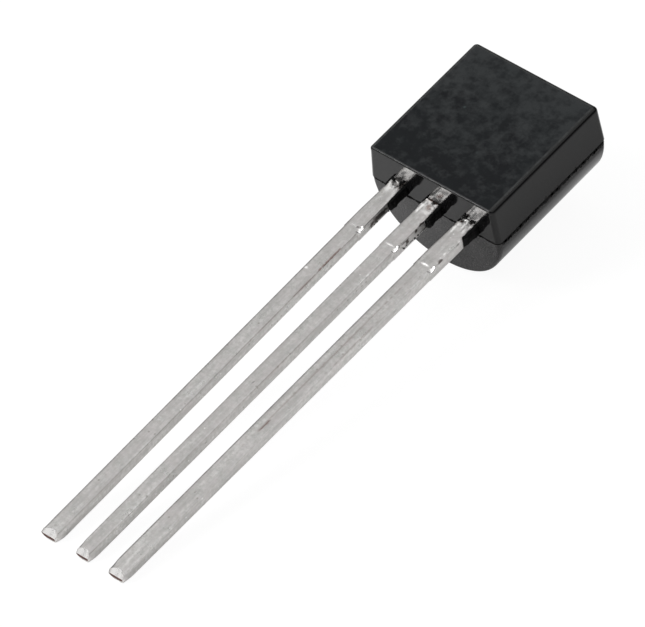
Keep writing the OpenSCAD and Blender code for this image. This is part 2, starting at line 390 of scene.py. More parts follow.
# %% Sizes of the body
SIDE_LEAN = math.radians(5)
END_LEAN = math.tan(math.radians(0.75))
BACK_LEAN = math.radians(2)
SEAM_STEP = 0.01
BACK_R = 2.31
SHOULDER_R = 1.0
EDGE_R = 0.15
LEAD_END_EDGE_R = 0.06
BACK_EDGE_R = 0.05
GROOVE_DEPTH = 0.03
GROOVE_H = 0.06
RIM_STEPS = 7
SHOULDER_STEPS = 5
BACK_STEPS = 56
END_STEPS = 8
# Which material each face of the body has
SATIN_SLOT = 1
TORN_SLOT = 2
print("the groove of the seam is", GROOVE_H, "mm high and", GROOVE_DEPTH, "mm deep")


# %% The profile across the leads
def clamped(value, most=1.0):
    return min(most, max(0.0, value))


def rising(value, start, width):
    """0 up to the start, then along a straight line to 1, which it reaches after the width."""
    return clamped((value - start) / width)


def arc_points(centre, radius, first, last, steps):
    """Points of an arc with their outward directions; angles fall from straight out."""
    made = []
    for step in range(steps + 1):
        t = first + (last - first) * step / steps
        way = Vector((math.cos(t), math.sin(t)))
        made.append((centre + radius * way, way))
    return made


def half_profile():
    """The right half, from the flat face round to the lowest point.

    Each entry is a place (across, out), its outward direction, the radius that rounds it at
    the body's ends, and how far it is sunk below the body's skin.
    """
    half_w = BODY_W / 2
    straight = Vector((1, 0))
    rim_z = SEAM_DEPTH - EDGE_R
    rim_x = half_w - rim_z * math.tan(SIDE_LEAN) - EDGE_R / math.cos(SIDE_LEAN)
    entries = []
    rim = arc_points(Vector((rim_x, rim_z)), EDGE_R, math.pi / 2, SIDE_LEAN, RIM_STEPS)
    entries += [(place, way, EDGE_R, 0) for place, way in rim]
    entries.append((Vector((half_w, 0)), straight, EDGE_R, 0))
    sunk_x = half_w - GROOVE_DEPTH
    for z in (0, -GROOVE_H):
        entries.append((Vector((sunk_x, z)), straight, EDGE_R - GROOVE_DEPTH, GROOVE_DEPTH))
    foot_x = half_w - SEAM_STEP
    lip = Vector((foot_x - GROOVE_H * math.tan(BACK_LEAN), -GROOVE_H))
    entries.append((lip, straight, EDGE_R, SEAM_STEP))
    back_centre = Vector((0, BACK_R - BACK_DEPTH))
    from_side = foot_x * math.cos(BACK_LEAN) - SHOULDER_R + back_centre.y * math.sin(BACK_LEAN)
    join = BACK_LEAN + math.acos(from_side / (BACK_R - SHOULDER_R))
    to_shoulder = Vector((math.cos(join), -math.sin(join)))
    shoulder_centre = back_centre + (BACK_R - SHOULDER_R) * to_shoulder
    shoulder = arc_points(shoulder_centre, SHOULDER_R, -BACK_LEAN, -join, SHOULDER_STEPS)
    back = arc_points(back_centre, BACK_R, -join, -math.pi / 2, BACK_STEPS)
    for place, way in shoulder + back[1:]:
        low_down = rising(-way.y, 0.2, 0.5)
        radius = EDGE_R + (BACK_EDGE_R - EDGE_R) * low_down
        entries.append((place, way, radius, SEAM_STEP))
    return entries


RIGHT_SIDE = half_profile()
FOOT = RIM_STEPS + 1
LIP = FOOT + 3
RING_COUNT = 2 * len(RIGHT_SIDE) - 1
print("points round the body:", RING_COUNT)


# %% Piece: moulded body
def body_ring(shape, end, share):
    """One ring; end is -1 at the leads, share goes from 0 on the end face to 1 past its edge."""
    turn = math.pi / 2 * (1 - share)
    right = []
    for place, way, radius, sunk in RIGHT_SIDE:
        if end < 0:
            radius += (LEAD_END_EDGE_R - EDGE_R) * max(0.0, way.y)
        x, z = place - way * radius * (1 - math.cos(turn))
        lean = END_LEAN if z > -0.001 else math.tan(BACK_LEAN)
        reach = BODY_H / 2 - sunk - abs(z) * lean - radius * (1 - math.sin(turn))
        right.append((x, BODY_H / 2 + end * reach, z))
    left = [(-x, y, z) for x, y, z in reversed(right[:-1])]
    return [shape.verts.new(point) for point in right + left]


def body_shape():
    shape = bmesh.new()
    shares = [step / END_STEPS for step in range(END_STEPS + 1)]
    rings = [body_ring(shape, -1, share) for share in shares]
    rings += [body_ring(shape, 1, share) for share in reversed(shares)]
    groove = (FOOT, FOOT + 1, FOOT + 2)
    for ring, following in zip(rings, rings[1:]):
        for i in range(RING_COUNT):
            j = (i + 1) % RING_COUNT
            face = shape.faces.new((ring[i], ring[j], following[j], following[i]))
            if i in groove or RING_COUNT - 2 - i in groove:
                face.material_index = TORN_SLOT
            elif j == 0 and ring is rings[END_STEPS]:
                face.material_index = SATIN_SLOT
        for i in range(FOOT, LIP + 1):
            for k in (i, -1 - i):
                shape.edges.get((ring[k], following[k])).smooth = False
    for ring in (rings[0], rings[-1]):
        shape.faces.new(ring[: FOOT + 1] + ring[-1 - FOOT :])
        shape.faces.new(ring[LIP:-LIP])
        for i in groove:
            face = shape.faces.new((ring[i], ring[i + 1], ring[-2 - i], ring[-1 - i]))
            face.material_index = TORN_SLOT
        for i in range(FOOT, LIP + 1):
            shape.edges.get((ring[i], ring[-1 - i])).smooth = False
    for face in shape.faces:
        face.smooth = True
    return shape


body = workbench_object(body_shape(), "epoxy_body_shape", [GLOSSY, SATIN, TORN])
shading = body.modifiers.new("flat faces stay flat", "WEIGHTED_NORMAL")
shading.keep_sharp = True
finished_piece(body, "moulded_body", ["epoxy_body"])

# %% [markdown]
# ## Tin plate and bare copper
#
# The leads are copper alloy, stamped from strip and plated with tin. Matt tin is a soft pale
# grey. It keeps the streaks of the rolled strip, picks up dark flecks, and shines only where
# a tool has burnished it: on the cut of the tie bar and the bevel of the tips. The shear that
# cut the leads off went through the plating, so their very ends are brown copper. Four values
# painted on the mesh say what happened to a place: `burnished` by a tool, `stained` by heat,
# crushed white by the mould clamp, with painted highlight on its raised folds, and stuck with
# resin and dirt, with painted shade in the clamp's dents and at the exits and a darker left
# edge.

# %% Material: tin plate and copper
PAINTS = ("burnished", "frosted_and_lit", "stained", "soiled_and_shaded")


def tin_plate():
    material, tree, shader = new_material("tin plate")
    place = package_place(tree)
    drawn = use(tree, streaks, place, Lines_per_mm=6.5, Breaks_per_mm=0.6)
    skin = use(tree, grain, place, Grains_per_mm=24.0, Clouds_per_mm=2.2)
    frost = use(tree, grain, place, Grains_per_mm=40.0, Clouds_per_mm=9.0)
    flecks = use(tree, specks, place, Specks_per_mm=5.0, Size=0.2, Share=0.22)
    glints = use(tree, specks, place, Specks_per_mm=4.1, Size=0.14, Share=0.10)
    painted_on = {
        label: add(tree, "ShaderNodeAttribute", attribute_name=label).outputs["Fac"]
        for label in PAINTS
    }

    def over(shade, share, strength, colour):
        """Lays a colour over the shade, as far as the share and its strength say."""
        return tinted(tree, worked(tree, "MULTIPLY", share, strength), shade, (*colour, 1))

    shade = tinted(tree, drawn["Streak"], (0.58, 0.57, 0.56, 1), (0.95, 0.94, 0.925, 1))
    shade = over(shade, frost["Cloud"], 0.75, (0.53, 0.53, 0.50))
    shade = over(shade, skin["Cloud"], 0.4, (0.74, 0.68, 0.68))
    shade = over(shade, flecks["Mask"], 0.5, (0.33, 0.30, 0.27))
    shade = over(shade, glints["Mask"], 1.0, (0.97, 0.96, 0.95))
    # Crushed plating, and painted highlight: lighter on the raised folds and the brightest patches
    # below the body
    shade = over(shade, painted_on["frosted_and_lit"], 1.0, (0.95, 0.94, 0.93))
    shade = over(shade, painted_on["stained"], 0.85, (0.24, 0.15, 0.13))
    shade = over(shade, painted_on["burnished"], 1.0, (0.80, 0.79, 0.78))
    # Resin and dirt, and painted shade: darker in the dents of the crumple and in the gap at each
    # exit
    shade = over(shade, painted_on["soiled_and_shaded"], 1.0, (0.035, 0.020, 0.014))
    rough = ranged(tree, skin["Cloud"], 0, 1, 0.27, 0.34)
    rough = blended(tree, painted_on["frosted_and_lit"], rough, 0.62)
    rough = blended(tree, painted_on["burnished"], rough, 0.17)
    metal = ranged(tree, painted_on["frosted_and_lit"], 0, 1, 1, 0.2)
    tree.links.new(metal, shader.inputs["Metallic"])
    relief = worked(tree, "ADD", worked(tree, "MULTIPLY", drawn["Height"], 0.8), skin["Height"])
    surfaced(tree, shader, shade, rough, relief, strength=0.7, depth=0.006)
    return material


TIN = tin_plate()
COPPER = plain_finish(
    "sheared copper",
    streaks,
    {"Lines_per_mm": 24.0, "Breaks_per_mm": 24.0},
    [(0.060, 0.024, 0.021), (0.17, 0.088, 0.072)],
    (0.42, 0.6),
    (0.5, 0.008),
    Metallic=1.0,
)
print("lead finishes:", TIN.name, "and", COPPER.name)

# %% [markdown]
# ## The three leads
#
# Each lead is one strip, from the post or paddle cast into the body down to its cut tip. Only
# its left and right edges change on the way, so it is made as a loft: a ring of points at each
# height, all with the same count, joined to the ring before. Where the strip is square-cut
# inside the body the ring has sharp corners, and outside they are soft, as the plating leaves
# them. Below the body the rings are close together, so that the dents of the mould clamp and
# the scar of the tie bar can be real shape and not only shading.

# %% Sizes of the leads
LEAD_L = 14.8
LEAD_W = 0.47
SHOULDER_W = 0.5
LEAD_T = 0.37
LEAD_PITCH = 1.27
TIE_BAR_Y = 1.78
TIE_BAR_H = 0.26
STUB_W = 0.012
TIP_END_T = 0.165
NOTCH_Y = 0.45
NOTCH_H = 0.3
NOTCH_DEPTH = 0.09
CAST_CORNER = 0.006
SHANK_CORNER = 0.03
CUT_CORNER = 0.02
TIP_SOFT_L = 0.4
TIP_SPACING = 0.03
STEP = 0.004
# The lofts of the leads start to be finely divided this far inside the body
FINE_Y = 0.06
# The blocks of each lead that are cast in above its notched root, from the top down: the width,
# the top and the bottom. All of them end at the same distance to the right of the lead.
POST_W = 0.92
CAST_BLOCKS = {
    "emitter": [(POST_W, 3.25, 2.15)],
    "base": [(POST_W, 1.6, 1.0)],
    "collector": [(2.1, 3.75, 1.95), (0.72, 1.95 - STEP, 0.95)],
}
# Where each lead leaves the body, where its tip ends, its noise seed, the height of the burr
# that the tie bar left, its spare width at the body and at the tip, and the radii that the
# shear left on its four corners at the tip: top right, top left, bottom left, bottom right
LEADS = {
    "emitter": (-LEAD_PITCH, -1.12, 1, 0.006, (0.0, 0.0), (0.05, 0.05, 0.14, 0.08)),
    "base": (0.0, 0.05, 2, 0.012, (0.0, -0.05), (0.05, 0.12, 0.15, 0.07)),
    "collector": (LEAD_PITCH, 1.235, 3, 0.018, (0.085, 0.02), (0.05, 0.14, 0.15, 0.07)),
}


def root_sections(x, post_y):
    """Left and right edges of a notched root, from its post down to the body's lead end."""
    wide, slim = SHOULDER_W / 2, SHOULDER_W / 2 - NOTCH_DEPTH
    return [
        (post_y, x - wide, x + wide),
        (NOTCH_Y + NOTCH_H, x - wide, x + wide),
        (NOTCH_Y + NOTCH_H - STEP, x - slim, x + slim),
        (NOTCH_Y, x - slim, x + slim),
        (NOTCH_Y - STEP, x - wide, x + wide),
    ]


def cast_sections(name, x):
    """Edges of the part of a lead that is cast into the body, from the top down."""
    right = x + POST_W / 2
    sections = []
    for width, top, bottom in CAST_BLOCKS[name]:
        sections += [(y, right - width, right) for y in (top, bottom)]
    return sections + root_sections(x, bottom - STEP)


def half_width(y, spare):
    """Half the width of a lead outside the body; spare is what it has over at its two ends."""
    width = SHOULDER_W if y > -TIE_BAR_Y - STEP / 2 else LEAD_W
    return (width + spare[0] + (spare[0] - spare[1]) * y / LEAD_L) / 2


def centre_at(x, tip_x, y):
    """Where the centre line of a lead is, which may splay a little on its way to the tip."""
    return x + (tip_x - x) * max(0.0, -y) / LEAD_L


def outer_sections(x, tip_x, spare, tip_radii):
    """Edges and corner radii of the part below the body, from the body down."""
    sections = []

    def walk(top, bottom, spacing, corner, stub=0.0):
        count = max(1, round((top - bottom) / spacing))
        for i in range(count + 1):
            y = top + (bottom - top) * i / count
            centre = centre_at(x, tip_x, y)
            half = half_width(min(0.0, y), spare) + stub
            near_tip = max(0.0, 1 - (y + LEAD_L) / TIP_SOFT_L)
            radii = [corner + (radius - corner) * near_tip for radius in tip_radii]
            sections.append((y, centre - half, centre + half, radii))

    stub_end = TIE_BAR_Y + TIE_BAR_H
    walk(FINE_Y, -TIE_BAR_Y, 0.022, SHANK_CORNER)
    walk(-TIE_BAR_Y - STEP, -stub_end, 0.02, CUT_CORNER, STUB_W)
    walk(-stub_end - STEP, -4.0, 0.03, SHANK_CORNER)
    walk(-4.05, -LEAD_L + 0.5, 0.08, SHANK_CORNER)
    walk(-LEAD_L + 0.48, -LEAD_L, TIP_SPACING, SHANK_CORNER)
    return sections


print("each lead is", LEAD_W, "mm wide,", LEAD_T, "mm thick and", LEAD_L, "mm long")

# %% The ring of one section, and the loft
CORNER_STEPS = 4
FACE_STEPS = 12
SIDE_STEPS = 7


def ring_points(left, right, radii):
    """A rounded rectangle in (across, out), with the same number of points for any size."""
    points = []
    places = [(right, LEAD_T, -1, -1), (left, LEAD_T, 1, -1), (left, 0, 1, 1), (right, 0, -1, 1)]
    centres = [(x + way_x * r, z + way_z * r) for (x, z, way_x, way_z), r in zip(places, radii)]
    for k in range(4):
        for i in range(CORNER_STEPS + 1):
            t = math.radians(90 * k + 90 * i / CORNER_STEPS)
            x, z = centres[k]
            points.append((x + radii[k] * math.cos(t), z + radii[k] * math.sin(t)))
        after = (k + 1) % 4
        t = math.radians(90 * after)
        x, z = centres[after]
        end = (x + radii[after] * math.cos(t), z + radii[after] * math.sin(t))
        start = points[-1]
        steps = SIDE_STEPS if k % 2 else FACE_STEPS
        for i in range(1, steps):
            points.append(tuple(s + (e - s) * i / steps for s, e in zip(start, end)))
    return points


def skinned(shape, rings):
    """Joins each ring of points to the one before it, and closes both ends."""
    for upper, lower in zip(rings, rings[1:]):
        count = len(upper)
        for i in range(count):
            j = (i + 1) % count
            shape.faces.new((upper[i], upper[j], lower[j], lower[i]))
    shape.faces.new(rings[0])
    shape.faces.new(rings[-1])


def lofted(sections):
    """A closed shape through all sections, each (along, left, right, corner radii)."""
    shape = bmesh.new()
    rings = []
    for y, left, right, radii in sections:
        rings.append([shape.verts.new((x, y, z)) for x, z in ring_points(left, right, radii)])
    skinned(shape, rings)
    return shape


print("points round a lead:", len(ring_points(-1, 1, (SHANK_CORNER,) * 4)))

# %% [markdown]
# ## What the press and the mould did to the leads
#
# A real lead isn't a perfect bar. The mould clamps it right below the body, which squeezes its
# neck narrower and leaves it crumpled. The rolled strip is faintly wavy. The cut of the tie bar
# leaves a burr across the front, and on the right edge a lip that the tool bent out and tilted,
# so that it catches the light. Crumple, wave and burr are small moves of the surface along its
# normal. The neck is a move to the side, and the lip is one with a tilt. All of them are
# functions of the place on the lead, with smooth noise that gives the same result every time.

# %% Relief of a lead
INSIDE_Y = 0.02
CALM_TIP_L = 0.8
CRUMPLE_DEPTH = 0.035
CRUMPLE_L = 0.42
# How much of the crumple is missing at the right edge
CALM_SHARE = 0.85
WAVE_DEPTH = 0.003
BURR_Y = -1.855
BURR_HALF_H = 0.035
BURR_RISE_L = 0.2
# Only places further out than this are on a lead's front
FRONT_Z = LEAD_T - 0.03
NECK_L = 1.4
NECK_RIGHT_L = 0.62
# How far the mould squeezed each lead's left and right edge in beside the body
NECKED = {"emitter": (0.04, 0.0), "base": (0.02, 0.0), "collector": (0.045, 0.055)}
# The bent lip beside the tie bar: its top, and how high, wide, thick and tilted it is
LIP_TOP_Y = -1.77
LIP_H = 0.28
LIP_W = 0.06
LIP_T = 0.12
LIP_TILT = 0.12


def hump(x, y, z):
    """Smooth noise from about -1 to 1, with one hump or dent in each unit."""
    return noise.noise(Vector((x, y, z)))


def bell(value, centre, width):
    return math.exp(-(((value - centre) / width) ** 2))


def crumple(place, seed):
    """How far the mould clamp pushed a point in or out, from 0 away from the clamp."""
    x, y, z = place
    strength = max(0.0, 1 - max(0.0, -y - FINE_Y) / CRUMPLE_L) ** 0.8
    offset = Vector((seed * 7.3, seed * 3.1, 0))
    folds = noise.noise(Vector((x * 9, y * 5.5, z * 6)) + offset)
    folds += 0.5 * noise.noise(Vector((x * 20, y * 14, z * 14)) + offset)
    return folds * CRUMPLE_DEPTH * strength


def lead_relief(place, seed, beside, burr):
    """How far a point of a lead's surface stands out from the plain strip, in millimetres."""
    x, y, z = place
    if y > INSIDE_Y:
        return 0.0
    near_tip = min(1.0, (y + LEAD_L) / CALM_TIP_L)
    wave = hump(x * 2.2 + seed, y * 0.9, z * 2.2) * WAVE_DEPTH * near_tip
    ridge = 0.0
    if z > FRONT_Z:
        width = BURR_RISE_L if y > BURR_Y else BURR_HALF_H
        ridge = burr * bell(y, BURR_Y, width) * bell(beside, 0.0, 0.1) ** 0.5
    steady = 1 - CALM_SHARE * rising(beside, 0.15, 0.06)
    return crumple(place, seed) * steady + wave + ridge


def necked(y, share, inset):
    """How far left the squeeze moved a point that is this share of the way to the right edge."""
    if y > FINE_Y:
        return 0.0
    if share < 0:
        return inset[0] * share * max(0.0, 1 + min(0.0, y) / NECK_L)
    return inset[1] * share * rising(y, -NECK_RIGHT_L, 0.1)


def tie_bar_lip(place, from_edge):
    """How the tool that cut the tie bar bent a point of the right edge out and tilted it."""
    from_top = (LIP_TOP_Y - place.y) / LIP_H
    within = max(0.0, from_top * (1 - from_top))
    down = max(0.0, 1 - (LEAD_T - place.z) / LIP_T)
    out = LIP_W * math.sqrt(4 * within) * down * rising(from_edge, -0.006, 0.004)
    tilt = LIP_TILT * min(1.0, 8 * within) * down * rising(from_edge, -0.03, 0.015)
    return Vector((out, 0, tilt * (0.6 - from_top)))


print("necks squeezed in, left and right, mm:", NECKED)

# %% [markdown]
# ## Where the plating is marked
#
# No two leads look alike close up. The plating is crushed white and stained where the hot
# mould gripped it, scratched here and there further down, and darker along its left edge.
# Just below the body the white is partly painted highlight, and the dark marks at the exit
# line partly painted shadow in the gap where each lead enters the body. The marks are given
# in one short list for each lead, and noise makes their outlines ragged. They are painted on
# the mesh as four values, and the material turns each value into its own look.

# %% Marks on each lead
# How far beside the centre line and along the lead, half width, half length and strength.
# Beside is measured over the front and on round the edge, so past 0.25 lies the side.
# Just below the body the white marks are partly painted highlight, and the dark marks at the exit
# line partly painted shadow in the gap where each lead enters the body
MARKS = {
    "emitter": {
        "frosted_and_lit": [
            (0.01, -0.12, 0.045, 0.13, 1.0), (-0.08, -0.31, 0.08, 0.1, 0.7),
            (-0.18, -0.14, 0.025, 0.1, 0.6), (0.2, -0.55, 0.03, 0.3, 0.35),
            (-0.14, -3.8, 0.05, 0.035, 0.8),
        ],
        "soiled_and_shaded": [
            (0.44, -1.1, 0.11, 0.3, 0.9), (0.45, -1.45, 0.08, 0.12, 0.9),
            (0.18, -0.04, 0.06, 0.15, 0.9), (-0.09, -0.1, 0.025, 0.08, 0.45),
            (-0.16, 0.0, 0.07, 0.04, 0.9), (0.13, -1.89, 0.035, 0.035, 0.7),
        ],
        "stained": [
            (0.225, -3.3, 0.03, 0.5, 1.0), (0.235, -4.3, 0.025, 0.5, 0.7),
            (0.235, -6.2, 0.02, 1.5, 0.3),
        ],
    },
    "base": {
        "frosted_and_lit": [
            (-0.16, -0.32, 0.035, 0.26, 1.0), (-0.03, -0.08, 0.045, 0.05, 1.0),
            (0.14, -0.07, 0.045, 0.06, 0.9), (0.06, -0.42, 0.13, 0.06, 0.5),
            (0.42, -1.25, 0.05, 0.12, 0.3), (0.215, -3.05, 0.035, 0.045, 1.0),
        ],
        "soiled_and_shaded": [
            (0.28, -0.8, 0.045, 0.09, 1.0), (0.33, -1.05, 0.06, 0.06, 1.0),
            (0.4, -1.44, 0.09, 0.06, 0.9), (0.32, -1.58, 0.04, 0.08, 0.8),
            (0.03, -7.75, 0.03, 0.045, 0.6),
        ],
        "stained": [
            (0.04, -0.22, 0.07, 0.09, 0.8), (0.0, 0.0, 0.25, 0.03, 1.0),
            (0.235, -7.0, 0.02, 1.2, 0.3),
        ],
    },
    "collector": {
        "frosted_and_lit": [
            (0.0, -0.16, 0.035, 0.17, 1.0), (-0.18, -0.42, 0.035, 0.17, 0.9),
            (0.16, -0.35, 0.035, 0.15, 0.5), (0.3, -0.72, 0.06, 0.05, 0.6),
            (0.21, -1.3, 0.035, 0.06, 0.8),
        ],
        "soiled_and_shaded": [
            (0.3, -1.57, 0.05, 0.1, 0.8), (0.31, -0.82, 0.03, 0.06, 0.5),
            (-0.17, -0.13, 0.08, 0.06, 1.0), (0.15, 0.03, 0.06, 0.04, 0.9),
            (0.08, -0.29, 0.02, 0.12, 0.5),
        ],
        "stained": [
            (0.0, -6.0, 0.03, 3.0, 0.45), (0.035, -8.7, 0.03, 0.22, 1.0),
            (0.24, -5.2, 0.025, 0.9, 0.4),
        ],
    },
}
# How much darker each lead's left edge is painted
LEFT_EDGE_DARKENING = {"emitter": 0.65, "base": 0.35, "collector": 0.7}


def painted(place, name, seed, beside, half):
    """How burnished, whitened, stained and darkened a point of a lead's surface is."""
    x, y, z = place
    paint = dict.fromkeys(PAINTS, 0.0)
    if z < 0.01 or y > FINE_Y:
        return paint
    round_edge = beside + math.copysign(LEAD_T - z, beside)
    ragged = hump(x * 16 + seed, y * 12, z * 12)
    for kind, marks in MARKS[name].items():
        for mark_x, mark_y, half_w, half_l, strength in marks:
            away = math.hypot((round_edge - mark_x) / half_w, (y - mark_y) / half_l)
            share = strength * clamped(2.5 - 2 * away + 1.2 * ragged)
            paint[kind] = max(paint[kind], share)
    fold = crumple(place, seed) / CRUMPLE_DEPTH
    # Painted highlight: lighter where the crumple's folds rise
    paint["frosted_and_lit"] = max(paint["frosted_and_lit"], clamped(fold * 2 - 0.2, 0.4))
    # Painted shade: darker in the dents of the crumple
    paint["soiled_and_shaded"] = max(paint["soiled_and_shaded"], clamped(-fold * 3 - 0.9, 0.8))
    # The left edge is painted darker
    if y < -0.02 and beside < 0:
        darker_left_edge = bell(min(0.0, -half + 0.01 - beside), 0.0, 0.03)
        paint["soiled_and_shaded"] = max(paint["soiled_and_shaded"], (LEFT_EDGE_DARKENING[name] + 0.3 * ragged) * darker_left_edge)
    if z > FRONT_Z and abs(beside) < 0.13:
        paint["burnished"] = 0.8 * bell(y, BURR_Y - 0.02, BURR_HALF_H)
    return paint


for name, marks in MARKS.items():
    print("marks on the", name, {kind: len(places) for kind, places in marks.items()})

# %% [markdown]
# ## How the shear left the tips
#
# The leads were sheared to length, and that leaves no tip square. The blade presses a
# bevel into the front, whose upper edge is an arch. Below it the end is bare copper inside a rim
# of smeared plating, and the blade has dragged the end a little to the left. The bevel's upper
# edge has to stay crisp, so the nearest points of the loft are snapped on to it and then joined
# by edges of the mesh.

# %% The sheared tips
# How far the bevel reaches up the front, at each place beside the centre line
BEVEL_REACH = [
    (-0.25, 0.03), (-0.15, 0.09), (-0.05, 0.16), (0.04, 0.19),
    (0.1, 0.165), (0.15, 0.1), (0.2, 0.045), (0.25, 0.045),
]
BEVEL_L = 0.2
DRAG_L = 0.28
SHEAR_LOW = 0.08
PLATED_RIM = 0.012
COPPER_SLOT = 1
# Size of the bevel, and how far the shear dragged the end to the left, for each lead
SHEARED = {"emitter": (0.8, 0.11), "base": (0.82, 0.07), "collector": (0.78, 0.06)}


def read_off(points, at):
    """The value at a place, along straight lines between given points."""
    for (x0, v0), (x1, v1) in zip(points, points[1:]):
        if at <= x1:
            return v0 + (v1 - v0) * (at - x0) / (x1 - x0)
    return points[-1][1]


def bevel_move(place, beside, size):
    """How the shear moved a point near the tip: down to the bevel, or on to the bevel's edge."""
    from_end = place.y + LEAD_L
    reach = size * read_off(BEVEL_REACH, beside)
    if from_end > BEVEL_L or place.z < SHEAR_LOW:
        return Vector()
    if -TIP_SPACING / 2 < from_end - reach <= TIP_SPACING / 2:
        return Vector((0, reach - from_end, 0))
    if from_end > reach:
        return Vector()
    top = TIP_END_T + (LEAD_T - TIP_END_T) * from_end / reach
    pressed = SHEAR_LOW + (place.z - SHEAR_LOW) * (top - SHEAR_LOW) / (LEAD_T - SHEAR_LOW)
    return Vector((0, 0, pressed - place.z))


def dragged(place, drag):
    """How far the shear dragged a point near the tip to the left."""
    near_end = max(0.0, 1 - (place.y + LEAD_L) / DRAG_L) ** 1.5
    if place.z < TIP_END_T:
        share = 0.5 + 0.5 * place.z / TIP_END_T
    else:
        share = (LEAD_T - place.z) / (LEAD_T - TIP_END_T)
    return drag * near_end * share


def bare_end(shape, tip_x):
    """Leaves the copper bare on the end: a lens inside a rim of smeared plating."""
    cap = min(shape.faces, key=lambda face: face.calc_center_median().y)
    bmesh.ops.inset_region(shape, faces=[cap], thickness=PLATED_RIM)
    cap.material_index = COPPER_SLOT
    for vert in cap.verts:
        rightward = (vert.co.x - tip_x) / LEAD_W + 0.5
        low = 0.02 + 0.05 * rightward**2
        vert.co.z = low + vert.co.z * (1 - low / TIP_END_T)


print("a bevel reaches up to", max(reach for beside, reach in BEVEL_REACH), "mm")

# %% [markdown]
# ## Each lead in one go
#
# The loft is made first. Then every point is moved and painted by what the press, the mould and
# the shear did there, all read off its place on the plain strip. The collector's paddle inside
# the body has a hole that the resin flows through to lock it in. A pin cuts it with a Boolean
# modifier.

# %% Pieces: the three tinned leads
LOCK_HOLE_PLACE = Vector((LEAD_PITCH + 0.1, 2.85, LEAD_T / 2))
LOCK_HOLE_R = 0.22


def lead_shape(name):
    x, tip_x, seed, burr, spare, tip_radii = LEADS[name]
    cast = [(*section, (CAST_CORNER,) * 4) for section in cast_sections(name, x)]
    shape = lofted(cast + outer_sections(x, tip_x, spare, tip_radii))
    layers = {paint: shape.verts.layers.float.new(paint) for paint in PAINTS}
    bmesh.ops.recalc_face_normals(shape, faces=shape.faces)
    shape.normal_update()
    bevel_size, drag = SHEARED[name]
    moves = {}
    bevel_edge = []
    for vert in shape.verts:
        place = vert.co
        beside = place.x - centre_at(x, tip_x, place.y)
        half = half_width(min(0.0, place.y), spare)
        move = vert.normal * lead_relief(place, seed, beside, burr)
        move.x -= necked(place.y, beside / half, NECKED[name])
        lip = tie_bar_lip(place, beside - half)
        bevel = bevel_move(place, beside, bevel_size)
        moves[vert] = move + bevel + lip
        paint = painted(place, name, seed, beside, half)
        if bevel.length > 0:
            paint["burnished"] = min(1.0, 10 * read_off(BEVEL_REACH, beside))
        if lip.z:
            paint["burnished"] = 1.0
        if bevel.y:
            bevel_edge.append(vert)
        for label, value in paint.items():
            vert[layers[label]] = value
    for vert, move in moves.items():
        vert.co += move
        vert.co.x -= dragged(vert.co, drag)
    bmesh.ops.connect_verts(shape, verts=bevel_edge)
    bare_end(shape, tip_x)
    for face in shape.faces:
        face.smooth = True
    return shape


def lock_pin():
    """A pin as wide as the hole in the collector's paddle."""
    pin = bmesh.new()
    ends = {"radius1": LOCK_HOLE_R, "radius2": LOCK_HOLE_R, "depth": 2 * LEAD_T}
    bmesh.ops.create_cone(pin, cap_ends=True, segments=48, **ends)
    for vert in pin.verts:
        vert.co += LOCK_HOLE_PLACE
    return workbench_object(pin, "lock_pin", [TIN])


for name in LEADS:
    rough = workbench_object(lead_shape(name), name + "_shape", [TIN, COPPER])
    if name == "collector":
        hole = rough.modifiers.new("lock hole", "BOOLEAN")
        hole.object = lock_pin()
    finished_piece(rough, "tinned_" + name, [name + "_lead"], sharp_from=30)
bpy.data.objects.remove(bpy.data.objects["lock_pin"])

# %% [markdown]
# ## Resin that squeezed out
#
# Under pressure the resin creeps between the mould halves and beside the leads. Most of it is
# torn off afterwards, and what stays is a ragged, matt black bead along the seam, and crumbs
# where the leads come out. Both follow a line, so Geometry Nodes make them: a thin bead whose
# thickness wanders with noise, and crumbs dropped on the same line at random. Each line only
# needs its own sizes and seed. Nothing may stand out past the body's sides, so whatever would
# pass them is pushed back.

# %% Geometry Nodes: resin along a line
SIDE_LIMIT = 2.298
RESIN_SETTINGS = (
    "Bead radius", "Bead wander", "Crumb size", "Crumb spacing", "Crumb share", "Scatter", "Seed"
)
# The settings of each piece of resin, in that order and in millimetres
RESIN_RUNS = {
    "seam_flash": (0.1, 0.45, 0.08, 0.07, 0.6, 0.04, 4),
    "lead_end_flash": (0.03, 0.6, 0.03, 0.09, 0.3, 0.008, 9),
    "exit_crumbs": (0.02, 0.8, 0.03, 0.04, 0.6, 0.018, 12),
    "exit_line": (0.007, 1.2, 0.012, 0.06, 0.4, 0.01, 17),
    "side_crumbs": (0.008, 1.0, 0.032, 0.11, 0.6, 0.02, 21),
}


